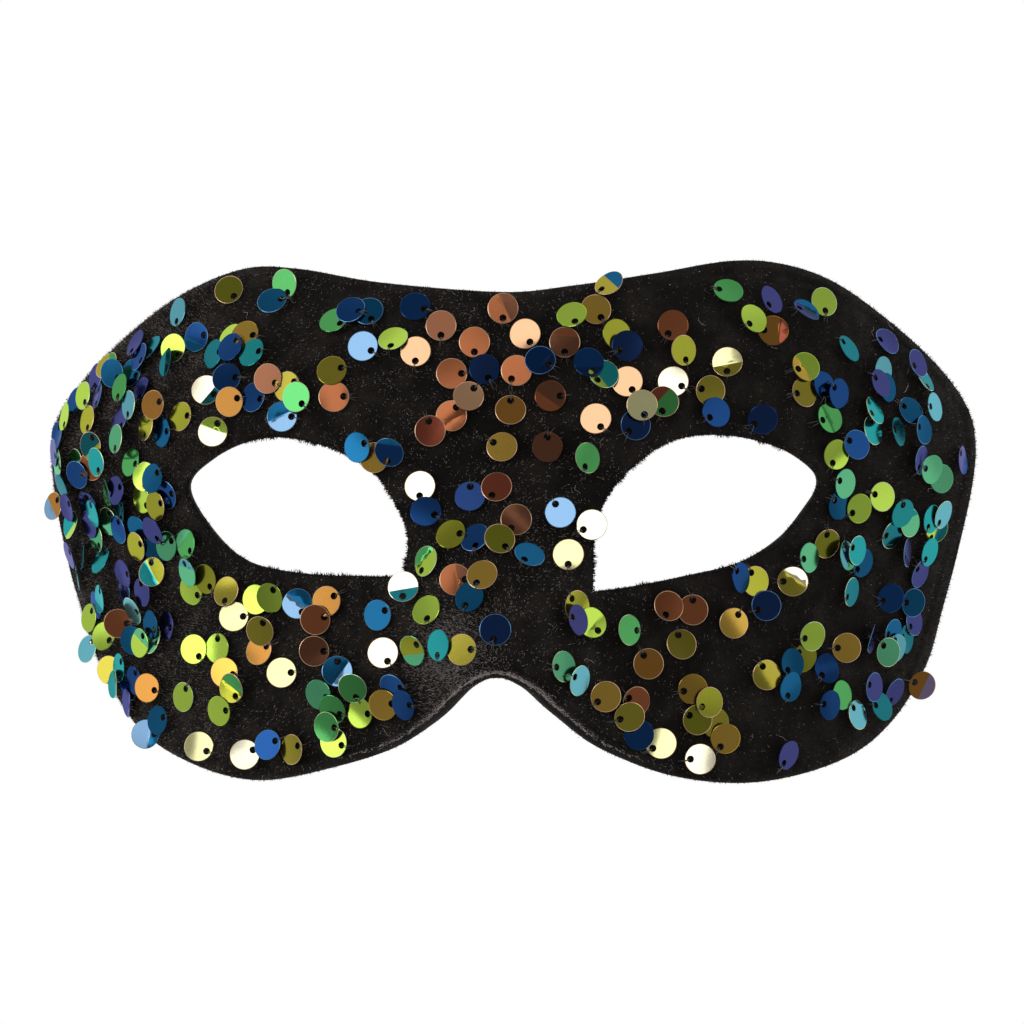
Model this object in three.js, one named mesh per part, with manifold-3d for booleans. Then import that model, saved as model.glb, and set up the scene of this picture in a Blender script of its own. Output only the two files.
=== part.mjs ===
// A half mask for a masquerade: black velvet glued over a stiff moulded shell, with round sequins sewn on.
// Millimetres. X runs across the face, Y up it and Z out of it, and the mask lies face up on z = 0.

import * as THREE from "three";
import { mergeVertices } from "three/addons/utils/BufferGeometryUtils.js";
import Module from "manifold-3d";

const wasm = await Module();
wasm.setup();

// The curve of the face
const CROWN = 48; // height of the flat part between the eyes
const SIDE_DROP = 47; // from there down to the side edges
const SIDE_POWER = 2.4; // how late the sides turn down
const HALF_SPAN = 90.6; // where the sides reach the bottom, at the temples
const SPAN_PULL = 7; // how much sooner they do above and below
const SPAN_MIDDLE = 12.5;
const SPAN_SPREAD = 22;
const BROW_START = 12;
const BROW_ROLL = 0.0074; // brow falls back by this times the distance squared
const CHEEK_START = -30;
const CHEEK_ROLL = 0.005;
const NOSE_TOP = 12;
const NOSE_RUN = 40; // from the top of the nose down to its full height
const NOSE_HEIGHT = 15;
const NOSE_WIDTH = 9; // one standard deviation of the ridge, at its top
const NOSE_FLARE = 2; // and what it gains on the way down

// The layers, as depths below the front
const VELVET = 1.0;
const GLUE = 0.3;
const SHELL = 1.0;
const HEM = 0.6;
const SHELL_FRONT = VELVET + GLUE;
const SHELL_BACK = SHELL_FRONT + SHELL;
const HEM_FRONT = SHELL_BACK + GLUE;
const HEM_BACK = HEM_FRONT + HEM;
const LIP = 1.25; // width of the velvet where it wraps the outer edge
const HEM_WIDTH = 6;

// The net that the layers are bent from
const NOSE_PITCH = 3;
const NOSE_LINES = 5;
const SIDE_PITCH = 8;
const ROW_PITCH = 8;
const REACH_X = 95;
const REACH_Y = 56;
const BLANK_DOME = 0.001; // the flat blank is slightly domed, which keeps every line of its net
const OVERCUT = 1;
const SLOPE_STEP = 0.05; // between the two points that a slope is measured from
const WELD = 1e-5; // corners nearer than this are one corner
const ABOVE_TABLE = 240; // side of the cube that holds all that is over the table

// The outer edge, clockwise from the middle of the brow, and the two eye holes, each from its inner
// lower corner up the nose side and round. The halves are cut by hand, so they differ a little.
const EDGE = [
  [0, 39.8], [13, 41], [28, 43.5], [42, 46.3], [52, 46.2], [62, 43.3], [72.5, 36.7], [82, 29],
  [88.5, 21], [90.5, 13.5], [89.5, 4.5], [86.3, -8.5], [83.3, -19], [80, -29], [73, -39.3], [63, -45.7],
  [47, -48.8], [31, -47.1], [19, -42.5], [11, -36], [5.5, -31], [0.3, -28.9], [-5, -31], [-11.5, -37],
  [-20, -42.6], [-31, -45.9], [-46, -48.7], [-60, -46], [-71, -40], [-79.5, -28.3], [-83.5, -19],
  [-86.3, -10], [-89.3, 4], [-89.5, 16], [-84, 24.3], [-74, 33.3], [-62, 41], [-49, 45.4],
  [-38, 44.9], [-22, 41.8],
];
const LEFT_EYE = [
  [-16.7, -11.8], [-16.2, -4], [-18.7, 2.2], [-23.2, 8], [-30.6, 11.8], [-39, 13.7], [-46.5, 13],
  [-54, 9.7], [-59, 4.6], [-54.5, -3.2], [-47, -9.2], [-35, -11.6], [-25, -11.9], [-16.7, -11.8],
];
const RIGHT_EYE = [
  [16.9, -14.3], [17.2, -3], [20, 4], [25.3, 9.5], [32.5, 13.4], [41.5, 14.1], [51, 12],
  [57.5, 8], [58.7, 4.6], [56.3, 0.5], [51.5, -5], [44, -9.4], [34.5, -11.6], [25.3, -13.3], [16.9, -14.3],
];
const EDGE_STEPS = 88;
const EYE_STEPS = 30;

// The sequins
const SEQUIN_RADIUS = 2.75;
const SEQUIN_HOLE = 0.65;
const HOLE_OFFSET = 1.75; // from the middle of the disc to the middle of its hole
const SEQUIN_THICKNESS = 0.2;
const SEQUIN_SIDES = 10;
const HOLE_SIDES = 5;
const SEQUIN_GAP = 0.35; // least distance to the velvet and to the next sequin
const LIFT_STEP = 0.05;

// A film that shows another colour at another slant: how far each finish leans from straight up
const FINISHES = {
  copper: { color: 0xa85f3c, lean: 7 },
  brown: { color: 0x6b3a26, lean: 10 },
  gold: { color: 0xc99a45, lean: 17 },
  bronze: { color: 0x96702f, lean: 14 },
  olive: { color: 0x8e8a2e, lean: 24 },
  lime: { color: 0xa6c832, lean: 33 },
  green: { color: 0x4fae5c, lean: 42 },
  navy: { color: 0x16275e, lean: 12 },
  sky: { color: 0x86b4ea, lean: 11 },
  pale: { color: 0xf2efb6, lean: 11 },
};
const FOIL = { roughness: 0.25, metalness: 0.8 };
const VELVET_LOOK = { color: 0x16130f, roughness: 0.95, metalness: 0 };
const SHELL_LOOK = { color: 0x24211f, roughness: 0.7, metalness: 0 };
const GLINT_WAY = 120; // the pale and sky discs all lean this way, in degrees from +X, towards one light
const SEWN_PULL = 0.08; // how far the thread tips a disc towards its hole

// Landmark sequins, one a row: place of the middle, where its hole is on a clock face, finish
const SEQUINS = [
  [-53.5, 22, 4, "pale"], [-52, 14.5, 1, "pale"], [-48, -19, 3, "pale"], [-39, -29, 3, "pale"],
  [-46, -44, 2, "pale"], [-55, -43, 4, "pale"], [22.5, 23, 5, "pale"], [30.5, 23, 4, "pale"],
  [40, 26.5, 6, "pale"], [-15, 28.5, 6, "pale"], [4.5, 31.5, 5, "pale"], [-16, -13.5, 6, "pale"],
  [-19.5, -25, 5, "pale"], [51.5, -12.5, 9, "pale"], [28, -41, 8, "pale"], [35, -44, 9, "pale"],
  [-14, 4.5, 6, "pale"], [11.5, -8, 6, "pale"], [17, 16.5, 5, "pale"], [16, -2.5, 8, "pale"],
  [-36, -16.5, 5, "sky"], [-39, 17, 3, "sky"], [-24.5, 29.5, 4, "sky"], [10.5, -0.5, 11, "sky"],
  [-66, -41.5, 3, "sky"], [-28.5, -28.5, 12, "sky"], [-10.5, 33, 6, "brown"], [-4.5, 30, 6, "copper"],
  [-8.5, 24.5, 3, "copper"], [-8.5, 17, 1, "copper"], [0.5, 11.5, 10, "gold"], [0.5, 36, 6, "copper"],
  [3, 25, 7, "copper"], [2, 18, 12, "bronze"], [8.5, 11.5, 12, "brown"], [11.5, 30, 6, "brown"],
  [9, 20.5, 3, "copper"], [15.5, 9.5, 7, "green"], [-5, 2.5, 12, "navy"], [3, -2, 7, "brown"],
  [-6.5, -12.5, 3, "copper"], [-5.5, -24, 3, "olive"], [22.5, -21, 3, "green"], [26, -27, 11, "bronze"],
  [18, -32.5, 8, "gold"], [34, -17.5, 12, "copper"], [41.5, -20, 1, "gold"], [47.5, -29.5, 11, "olive"],
  [62, -25, 9, "gold"], [30.5, 33, 7, "copper"], [17, 36, 5, "gold"], [58.5, 38.5, 6, "lime"],
  [48.5, 32.5, 9, "bronze"], [-33, -25, 3, "brown"], [-72, -21, 3, "copper"], [-29.5, 20.5, 3, "copper"],
  [-52, -25, 12, "lime"], [60.5, 10.5, 7, "lime"],
];

const smoothstep = (t) => {
  const u = THREE.MathUtils.clamp(t, 0, 1);
  return u * u * (3 - 2 * u);
};

// Height of the velvet's front over a point of the plan
function front(x, y) {
  const pull = 1 - Math.exp(-(((y - SPAN_MIDDLE) / SPAN_SPREAD) ** 2));
  const span = HALF_SPAN - SPAN_PULL * pull;
  const sides = SIDE_DROP * (Math.abs(x) / span) ** SIDE_POWER;
  const brow = BROW_ROLL * Math.max(0, y - BROW_START) ** 2;
  const cheek = CHEEK_ROLL * Math.max(0, CHEEK_START - y) ** 2;
  const down = smoothstep((NOSE_TOP - y) / NOSE_RUN);
  const width = NOSE_WIDTH + NOSE_FLARE * down;
  const nose = NOSE_HEIGHT * down * Math.exp(-((x / width) ** 2) / 2);
  return CROWN - sides - brow - cheek + nose;
}

function normalAt(x, y) {
  const slopeX = (front(x + SLOPE_STEP, y) - front(x - SLOPE_STEP, y)) / (2 * SLOPE_STEP);
  const slopeY = (front(x, y + SLOPE_STEP) - front(x, y - SLOPE_STEP)) / (2 * SLOPE_STEP);
  return new THREE.Vector3(-slopeX, -slopeY, 1).normalize();
}

// Outlines in plan
function rounded(points, steps, closed) {
  const knots = points.map(([x, y]) => new THREE.Vector3(x, y, 0));
  const curve = new THREE.CatmullRomCurve3(knots, closed, "catmullrom", 0.5);
  const line = curve.getSpacedPoints(steps);
  return line.slice(0, steps).map((p) => new THREE.Vector2(p.x, p.y));
}

// The same outline moved along its own normals: inwards where inset is more than 0
function offsetLoop(loop, inset) {
  const turn = THREE.ShapeUtils.isClockWise(loop) ? -1 : 1;
  return loop.map((point, i) => {
    const before = loop[(i + loop.length - 1) % loop.length];
    const after = loop[(i + 1) % loop.length];
    const along = after.clone().sub(before).normalize();
    return new THREE.Vector2(point.x - along.y * inset * turn, point.y + along.x * inset * turn);
  });
}

// Solids
function asManifold(geometry) {
  const bare = geometry.index ? geometry.toNonIndexed() : geometry.clone();
  bare.deleteAttribute("normal");
  bare.deleteAttribute("uv");
  const merged = mergeVertices(bare, WELD);
  return new wasm.Manifold(
    new wasm.Mesh({
      numProp: 3,
      vertProperties: new Float32Array(merged.attributes.position.array),
      triVerts: new Uint32Array(merged.index.array),
    }),
  );
}

function asGeometry(solid) {
  const { vertProperties, triVerts } = solid.getMesh();
  const geometry = new THREE.BufferGeometry();
  geometry.setAttribute("position", new THREE.BufferAttribute(new Float32Array(vertProperties), 3));
  geometry.setIndex(new THREE.BufferAttribute(new Uint32Array(triVerts), 1));
  return geometry;
}

const dome = (x, y) => BLANK_DOME * (x * x + y * y);

// A sheet of the blank between two depths, on a net that is finer over the nose
function sheet(top, bottom) {
  const sideLines = Math.ceil((REACH_X - NOSE_PITCH * NOSE_LINES) / SIDE_PITCH);
  const half = NOSE_LINES + sideLines;
  const rows = Math.ceil(REACH_Y / ROW_PITCH);
  const lineAt = (i) => Math.sign(i) * (Math.min(Math.abs(i), NOSE_LINES) * NOSE_PITCH
    + Math.max(0, Math.abs(i) - NOSE_LINES) * SIDE_PITCH);
  const geometry = new THREE.BoxGeometry(2 * half, 2 * rows, 1, 2 * half, 2 * rows, 1);
  const spots = geometry.attributes.position;
  for (let i = 0; i < spots.count; i += 1) {
    const x = lineAt(Math.round(spots.getX(i)));
    const y = Math.round(spots.getY(i)) * ROW_PITCH;
    const depth = spots.getZ(i) > 0 ? top : bottom;
    spots.setXYZ(i, x, y, dome(x, y) - depth);
  }
  return asManifold(geometry);
}

// A straight-sided block of an outline, high enough to cut the whole blank
function punch(loop) {
  const high = dome(REACH_X, REACH_Y) + 2 * OVERCUT;
  const low = HEM_BACK + 2 * OVERCUT;
  const geometry = new THREE.ExtrudeGeometry(new THREE.Shape(loop), { depth: high + low, bevelEnabled: false });
  geometry.translate(0, 0, -low);
  return asManifold(geometry);
}

// Bends the cut blank over the face: each corner keeps its depth, now square to the front
function bend(solid, depths) {
  const geometry = asGeometry(solid);
  const spots = geometry.attributes.position;
  for (let i = 0; i < spots.count; i += 1) {
    const x = spots.getX(i);
    const y = spots.getY(i);
    const found = dome(x, y) - spots.getZ(i);
    const near = (a, b) => (Math.abs(b - found) < Math.abs(a - found) ? b : a);
    const depth = depths.reduce(near);
    const normal = normalAt(x, y);
    spots.setXYZ(i, x - depth * normal.x, y - depth * normal.y, front(x, y) - depth * normal.z);
  }
  return asManifold(geometry);
}

// The velvet is crushed flat where the side edges bear on the table
function restOnTable(solid) {
  const block = new THREE.BoxGeometry(ABOVE_TABLE, ABOVE_TABLE, ABOVE_TABLE);
  block.translate(0, 0, ABOVE_TABLE / 2);
  return solid.intersect(asManifold(block));
}

const edge = rounded(EDGE, EDGE_STEPS, true);
const eyes = [rounded(LEFT_EYE, EYE_STEPS, false), rounded(RIGHT_EYE, EYE_STEPS, false)];

function velvetCover() {
  const shellRoom = punch(offsetLoop(edge, LIP)).intersect(sheet(VELVET, HEM_FRONT));
  const backRoom = punch(offsetLoop(edge, LIP + HEM_WIDTH)).intersect(sheet(SHELL_BACK, HEM_BACK + OVERCUT));
  let cover = punch(edge).intersect(sheet(0, HEM_BACK)).subtract(shellRoom).subtract(backRoom);
  for (const eye of eyes) cover = cover.subtract(punch(eye));
  return restOnTable(bend(cover, [0, VELVET, HEM_FRONT, HEM_BACK]));
}

function mouldedShell() {
  let shell = punch(offsetLoop(edge, LIP + GLUE)).intersect(sheet(SHELL_FRONT, SHELL_BACK));
  for (const eye of eyes) shell = shell.subtract(punch(eye));
  return bend(shell, [SHELL_FRONT, SHELL_BACK]);
}

function sequinGeometry() {
  const ring = (count, radius, y) => Array.from({ length: count }, (_, i) => {
    const angle = (2 * Math.PI * i) / count;
    return new THREE.Vector2(radius * Math.cos(angle), y + radius * Math.sin(angle));
  });
  const disc = new THREE.Shape(ring(SEQUIN_SIDES, SEQUIN_RADIUS, 0));
  disc.holes.push(new THREE.Path(ring(HOLE_SIDES, SEQUIN_HOLE, HOLE_OFFSET).reverse()));
  const geometry = new THREE.ExtrudeGeometry(disc, { depth: SEQUIN_THICKNESS, bevelEnabled: false });
  geometry.translate(0, 0, -SEQUIN_THICKNESS / 2);
  return geometry;
}

const hourWay = (hour) => {
  const angle = THREE.MathUtils.degToRad(90 - 30 * hour);
  return new THREE.Vector3(Math.cos(angle), Math.sin(angle), 0);
};

// Which way a sequin faces: down the slope of the cloth, or for the bright ones towards the light
function facing(x, y, hour, finish) {
  const lean = THREE.MathUtils.degToRad(FINISHES[finish].lean);
  const cloth = normalAt(x, y);
  const bright = finish === "pale" || finish === "sky";
  const way = bright ? THREE.MathUtils.degToRad(GLINT_WAY) : Math.atan2(cloth.y, cloth.x);
  const normal = new THREE.Vector3(Math.sin(lean) * Math.cos(way), Math.sin(lean) * Math.sin(way), Math.cos(lean));
  if (!bright) normal.addScaledVector(hourWay(hour), SEWN_PULL);
  return normal.normalize();
}

// Turns a disc to face a way, with its hole at an hour of the clock as seen from the front
function turnTo(normal, hour) {
  const side = hourWay(hour).cross(normal).normalize();
  const up = normal.clone().cross(side);
  return new THREE.Matrix4().makeBasis(side, up, normal);
}

// Raises a disc from the cloth until its rim clears the velvet and the sequins already laid
function layDown(sequin, x, y, laid) {
  const rise = normalAt(x, y);
  const rim = new THREE.Vector3();
  let lift = SEQUIN_GAP;
  const clears = () => {
    sequin.position.set(x, y, front(x, y)).addScaledVector(rise, lift);
    sequin.updateMatrixWorld();
    for (let i = 0; i < SEQUIN_SIDES; i += 1) {
      const angle = (2 * Math.PI * i) / SEQUIN_SIDES;
      rim.set(SEQUIN_RADIUS * Math.cos(angle), SEQUIN_RADIUS * Math.sin(angle), -SEQUIN_THICKNESS / 2);
      rim.applyMatrix4(sequin.matrixWorld);
      const over = (rim.z - front(rim.x, rim.y)) * normalAt(rim.x, rim.y).z;
      if (over < SEQUIN_GAP) return false;
    }
    return laid.every((other) => other.position.distanceTo(sequin.position) > 2 * SEQUIN_RADIUS + SEQUIN_GAP);
  };
  while (!clears()) lift += LIFT_STEP;
}

const mask = new THREE.Group();

function addPiece(name, geometry, look) {
  const piece = new THREE.Mesh(geometry, new THREE.MeshStandardMaterial(look));
  piece.name = name;
  mask.add(piece);
  return piece;
}

addPiece("velvet_cover", asGeometry(velvetCover()), VELVET_LOOK);
addPiece("mask_shell", asGeometry(mouldedShell()), SHELL_LOOK);

const disc = sequinGeometry();
const laid = [];
SEQUINS.forEach(([x, y, hour, finish], i) => {
  const name = `sequin_${String(i + 1).padStart(2, "0")}_${finish}`;
  const sequin = addPiece(name, disc, { color: FINISHES[finish].color, ...FOIL });
  sequin.quaternion.setFromRotationMatrix(turnTo(facing(x, y, hour, finish), hour));
  layDown(sequin, x, y, laid);
  laid.push(sequin);
});

// The origin is under the middle of the outline
const outline = new THREE.Box2().setFromPoints(edge);
const middle = outline.getCenter(new THREE.Vector2());
mask.position.set(-middle.x, -middle.y, 0);

export default mask;
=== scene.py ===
import math

import bmesh
import bpy
import numpy as np
from mathutils import Matrix, Vector
from mathutils.geometry import delaunay_2d_cdt

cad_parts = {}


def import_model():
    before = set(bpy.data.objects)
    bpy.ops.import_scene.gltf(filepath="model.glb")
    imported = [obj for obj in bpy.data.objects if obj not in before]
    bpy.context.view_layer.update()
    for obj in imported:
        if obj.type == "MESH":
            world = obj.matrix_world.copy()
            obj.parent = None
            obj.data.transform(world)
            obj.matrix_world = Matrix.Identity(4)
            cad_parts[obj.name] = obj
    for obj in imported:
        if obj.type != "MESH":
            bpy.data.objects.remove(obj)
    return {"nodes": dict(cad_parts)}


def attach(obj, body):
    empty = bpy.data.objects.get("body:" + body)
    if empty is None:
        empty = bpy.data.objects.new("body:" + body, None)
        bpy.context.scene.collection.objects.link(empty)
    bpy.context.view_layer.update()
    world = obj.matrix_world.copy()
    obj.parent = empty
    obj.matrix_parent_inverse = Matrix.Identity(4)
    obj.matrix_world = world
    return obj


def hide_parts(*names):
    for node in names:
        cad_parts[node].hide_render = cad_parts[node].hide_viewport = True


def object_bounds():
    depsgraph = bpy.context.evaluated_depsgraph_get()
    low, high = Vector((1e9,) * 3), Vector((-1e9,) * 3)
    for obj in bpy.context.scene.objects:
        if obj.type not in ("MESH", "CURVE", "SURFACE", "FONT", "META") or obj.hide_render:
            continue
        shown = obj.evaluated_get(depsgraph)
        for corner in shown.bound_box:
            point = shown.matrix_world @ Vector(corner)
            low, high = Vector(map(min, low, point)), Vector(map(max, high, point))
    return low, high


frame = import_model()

CAD_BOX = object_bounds()
MM = 0.001
rng = np.random.default_rng(41)
places = np.random.default_rng(6)

# The form, as in the CAD part: millimetres, before the outline is centred on the origin
CROWN = 48.0
SIDE_DROP = 47.0
SIDE_POWER = 2.4
HALF_SPAN = 90.6
SPAN_PULL = 7.0
SPAN_MIDDLE = 12.5
SPAN_SPREAD = 22.0
BROW_START = 12.0
BROW_ROLL = 0.0074
CHEEK_START = -30.0
CHEEK_ROLL = 0.005
NOSE_TOP = 12.0
NOSE_RUN = 40.0
NOSE_HEIGHT = 15.0
NOSE_WIDTH = 9.0
NOSE_FLARE = 2.0
VELVET = 1.0
SHELL_FRONT = 1.3
SHELL_BACK = 2.3
HEM_FRONT = 2.6
HEM_BACK = 3.2
LIP = 1.25
GLUE = 0.3

EDGE = [
    (0, 39.8), (13, 41), (28, 43.5), (42, 46.3), (52, 46.2), (62, 43.3), (72.5, 36.7), (82, 29),
    (88.5, 21), (90.5, 13.5), (89.5, 4.5), (86.3, -8.5), (83.3, -19), (80, -29), (73, -39.3), (63, -45.7),
    (47, -48.8), (31, -47.1), (19, -42.5), (11, -36), (5.5, -31), (0.3, -28.9), (-5, -31), (-11.5, -37),
    (-20, -42.6), (-31, -45.9), (-46, -48.7), (-60, -46), (-71, -40), (-79.5, -28.3), (-83.5, -19),
    (-86.3, -10), (-89.3, 4), (-89.5, 16), (-84, 24.3), (-74, 33.3), (-62, 41), (-49, 45.4),
    (-38, 44.9), (-22, 41.8),
]
LEFT_EYE = [
    (-16.7, -11.8), (-16.2, -4), (-18.7, 2.2), (-23.2, 8), (-30.6, 11.8), (-39, 13.7), (-46.5, 13),
    (-54, 9.7), (-59, 4.6), (-54.5, -3.2), (-47, -9.2), (-35, -11.6), (-25, -11.9), (-16.7, -11.8),
]
RIGHT_EYE = [
    (16.9, -14.3), (17.2, -3), (20, 4), (25.3, 9.5), (32.5, 13.4), (41.5, 14.1), (51, 12),
    (57.5, 8), (58.7, 4.6), (56.3, 0.5), (51.5, -5), (44, -9.4), (34.5, -11.6), (25.3, -13.3), (16.9, -14.3),
]

# How finely the cloth and the shell are made
CURVE_STEPS = 24
EDGE_STEP = 1.0
EYE_STEP = 0.8
SLOPE_STEP = 0.05
CLOTH_PITCH = 1.1
BACK_PITCH = 1.6
HIDDEN_PITCH = 3.0
NET_SHIFT = 0.12
NET_ROOM = 0.6
SEAM = 0.001
DOUBLE = 1e-6
BLOCK = 4000

# The bead and the groove round the edge, and the profiles: inset from the edge, depth below the front
PILE = 0.5
BEAD_HIGH, BEAD_AT, BEAD_WIDTH = 0.45, 1.3, 0.5
GROOVE_DEEP, GROOVE_AT, GROOVE_WIDTH = 0.42, 2.4, 0.4
BEAD_LEAST = 0.25
BEAD_INSETS = [3.4, 2.9, 2.5, 2.2, 1.9, 1.6, 1.3]
RIM_TOP, RIM_TOP_DEPTH = 1.0, 0.05
RIM_PROFILE = [
    (0.5, PILE + 0.17), (0.2, PILE + 0.45), (0.1, 1.4), (0.1, 2.2), (0.25, 2.75), (0.6, 3.05),
    (1.2, HEM_BACK), (4.5, HEM_BACK), (6.8, HEM_BACK), (7.1, 3.08), (7.15, 2.85), (7.0, HEM_FRONT),
    (4.0, HEM_FRONT), (LIP, HEM_FRONT), (LIP, 1.8), (LIP, VELVET),
]
EYE_PROFILE = [(0.55, PILE), (0.3, PILE + 0.04), (0.12, PILE + 0.18), (0.08, VELVET)]
SHELL_PROFILE = [(0.25, SHELL_FRONT), (0.05, 1.5), (0.0, 1.8), (0.05, 2.1), (0.25, SHELL_BACK)]

# The notch of the nose, where the bead is plainest and the pile worn
NOTCH_X = 0.3
NOTCH_REACH = 27.0
NOTCH_WIDE, NOTCH_TOP = 34.0, -24.0
NOTCH_CORE = 0.3

# How far the pile fills out the rim: more below and down the sides, and less on the notch's slopes
SWELL = 0.4
SWELL_BELOW, BELOW_FROM, BELOW_RUN = 0.35, 5.0, 20.0
SWELL_SIDES, SIDES_FROM, SIDES_RUN, SIDES_TOP = 0.4, 72.0, 10.0, 15.0
WORN, WORN_SLOPES, WORN_RUN = 0.8, 0.4, 5.0
SWELL_INSET, SWELL_ROUND = 1.2, 0.7
LEFT_EYE_SWELL, LEFT_EYE_WORN, LEFT_EYE_FROM, LEFT_EYE_RUN = 0.55, 0.05, -55.0, 30.0
RIGHT_EYE_SWELL = 0.28
EYE_SWELL_INSET, EYE_SWELL_ROUND = 0.4, 0.3

# A sequin's disc, and the inner rings of its net
RADIUS = 2.75
HOLE_RADIUS = 0.65
HOLE_OFFSET = 1.75
THICKNESS = 0.14
BEVEL = 0.09
DISC_SIDES = 36
HOLE_SIDES = 14
NET_RING, NET_RING_SIDES, NET_RING_TURN = 0.55, 14, 0.1
NET_CORE, NET_CORE_SIDES = 0.22, 6
HOLE_ROOM = 0.35
CURL = 0.1
RIM_FLAT = 0.3
CHORDS = [(1, 15), (20, 33), (2, 18), (22, 34), (4, 25), (12, 29)]

# Each finish is a colour of foil and the record's slot that it belongs to. pale, lemon, peach and sky are
# painted glints, pale tints that paint the key light's highlight into the foil of discs that also throw it;
# ice is a film colour, and a painted glint where the glint rules give it.
FINISH = {
    "red_brown": ("sequin_brown", (0.25, 0.062, 0.034)),
    "brown": ("sequin_brown", (0.17, 0.068, 0.036)),
    "copper": ("sequin_copper", (0.34, 0.112, 0.045)),
    "bronze": ("sequin_bronze", (0.37, 0.17, 0.035)),
    "gold": ("sequin_gold", (0.56, 0.35, 0.06)),
    "olive": ("sequin_olive", (0.36, 0.31, 0.04)),
    "yellow": ("sequin_lime", (0.36, 0.37, 0.035)),
    "lime": ("sequin_lime", (0.44, 0.64, 0.08)),
    "green": ("sequin_green", (0.08, 0.35, 0.10)),
    "mint": ("sequin_green", (0.11, 0.44, 0.22)),
    "turquoise": ("sequin_green", (0.02, 0.31, 0.32)),
    "teal": ("sequin_green", (0.012, 0.15, 0.18)),
    "navy": ("sequin_navy", (0.014, 0.038, 0.13)),
    "royal": ("sequin_navy", (0.010, 0.052, 0.18)),
    "blue": ("sequin_navy", (0.008, 0.095, 0.21)),
    "violet": ("sequin_navy", (0.042, 0.046, 0.16)),
    "sky": ("sequin_sky", (0.20, 0.36, 0.56)),
    "ice": ("sequin_sky", (0.13, 0.42, 0.50)),
    "lilac": ("sequin_sky", (0.34, 0.27, 0.46)),
    "pale": ("sequin_pale", (0.88, 0.83, 0.62)),
    "lemon": ("sequin_pale", (0.78, 0.74, 0.38)),
    "peach": ("sequin_pale", (0.70, 0.40, 0.22)),
}
WARM_FILM = [
    (5, "brown"), (10, "red_brown"), (17, "copper"), (22, "bronze"), (26, "gold"), (30, "olive"),
    (35, "yellow"), (43, "lime"), (49, "green"), (56, "mint"), (66, "turquoise"), (70, "ice"), (90, "teal"),
]
BLUE_FILM = [(22, "navy"), (36, "royal"), (52, "blue"), (62, "royal"), (90, "violet")]
BLUES = ("navy", "royal", "blue", "violet", "sky")
GREENS = ("lime", "green", "mint", "turquoise", "teal", "ice")
DEEP = 0.7
DEEP_SHARE = 0.3
# Painted rim highlight: bright tints for the rims of some discs, by colour family, and the share of discs
# that get one
RIM_HIGHLIGHT_TINT = {"warm": (0.85, 0.55, 0.33), "green": (0.60, 0.80, 0.45), "blue": (0.12, 0.28, 0.52)}
RIM_HIGHLIGHT_SHARE = {"warm": 0.75, "green": 0.35, "blue": 0.4}
FOIL_ROUGHNESS = 0.17
FOIL_METALLIC = 0.93
EDGE_TINT = 0.5
SEEN_FROM = np.array([22.0, 0.0, 560.0])
KEY_WAY = (-0.226, 0.323, 0.919)
KEY_DISTANCE = 0.9

# A CAD node's disc may be creased: its finish, the chance, the angles, and the finishes past the crease
NODE_CREASES = [
    (("pale", "lemon"), 0.4, (0.1, 0.25), ("teal", "lime", "olive")),
    (("sky",), 0.6, (0.1, 0.25), ("blue",)),
    (("copper", "brown", "bronze"), 0.3, (0.08, 0.2), ("red_brown", "brown", "copper")),
]
HOLE_POINTS_WITHIN = 2.0
PEACH_WITHIN, PEACH_ABOVE = 25.0, 10.0
LEMON_CHANCE = 0.4

# Zones of the front: scattered sequins, share that shows blue, shift and spread of the other colours
ZONES = {
    "left side": (74, 0.44, -13.0, 10.0),
    "left brow": (29, 0.40, 1.0, 11.0),
    "left cheek": (28, 0.10, -2.0, 9.0),
    "centre": (7, 0.5, 0.0, 3.0),
    "nose": (20, 0.34, 2.0, 9.0),
    "right brow": (19, 0.40, 7.0, 11.0),
    "right cheek": (22, 0.34, 4.0, 9.0),
    "right side": (48, 0.36, 6.0, 8.0),
}
LEFT_SIDE, RIGHT_SIDE, CENTRE = -64.0, 61.0, 18.0
NOSE_BELOW = 6.0

# Places with no sequins: round spots by middle, squash and reach, and the middle of the brow's edge
BARE_SPOTS = [(0.3, -34.0, 0.8, 10.5), (-26.0, -19.0, 1.0, 4.0), (7.5, -18.0, 1.0, 5.0)]
BARE_BROW_WIDE, BARE_BROW_FROM = 33.0, 36.5

# How the scattered sequins keep clear of each other and of the edges
TRIES = 60000
HIGHEST = 2.0
CLUSTERED = 0.42
CLUSTER = 3
CLUSTER_NEAR, CLUSTER_FAR, CLUSTER_ROOM = 2.9, 4.7, 2.7
APART = 5.7
NODE_ROOM = 4.4
CLOTH_GAP, DISC_GAP, DISC_REACH = 0.05, 0.08, 2.5
RIM_GAP = 0.1
LEAST_RISE = 0.35
EDGE_CLEAR, EYE_CLEAR = 1.5, 0.9
THINNED, THIN_FROM, THIN_RUN = 0.55, 68.0, 16.0
BY_EYE, BY_EYE_CHANCE = 3.4, 0.3
BY_EDGE, BY_LEFT_EDGE, BY_EDGE_CHANCE = 3.6, 2.2, 0.06
BY_EDGE_SIDE, BY_EDGE_TOP = 60.0, 22.0
ROOM_LOW, ROOM_HIGH = [0.8, 0.6, -0.1], [0.8, 0.6, 0.5]

# How they lie: the spread of the way the hole points, and the lean away from the cloth
STEEP, STEEP_SPREAD, LEVEL_SPREAD, LEVEL = 0.15, 0.7, 2.5, 0.05
SIDE_LEAN, LEAN_FROM, LEAN_RUN, LEAN_RANGE = 0.32, 42.0, 30.0, (-0.9, 1.6)
HOLE_LEAN, HOLE_LEAN_SPREAD, LOOSE = 0.02, 0.17, 0.14
CREASED = 0.13
CREASE_ANGLES = (0.12, 0.35)
CREASED_DEEP = 0.6
FILM_JITTER = 8.0
BACK_LEAN = 20.0
STEER = 2.0
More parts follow.
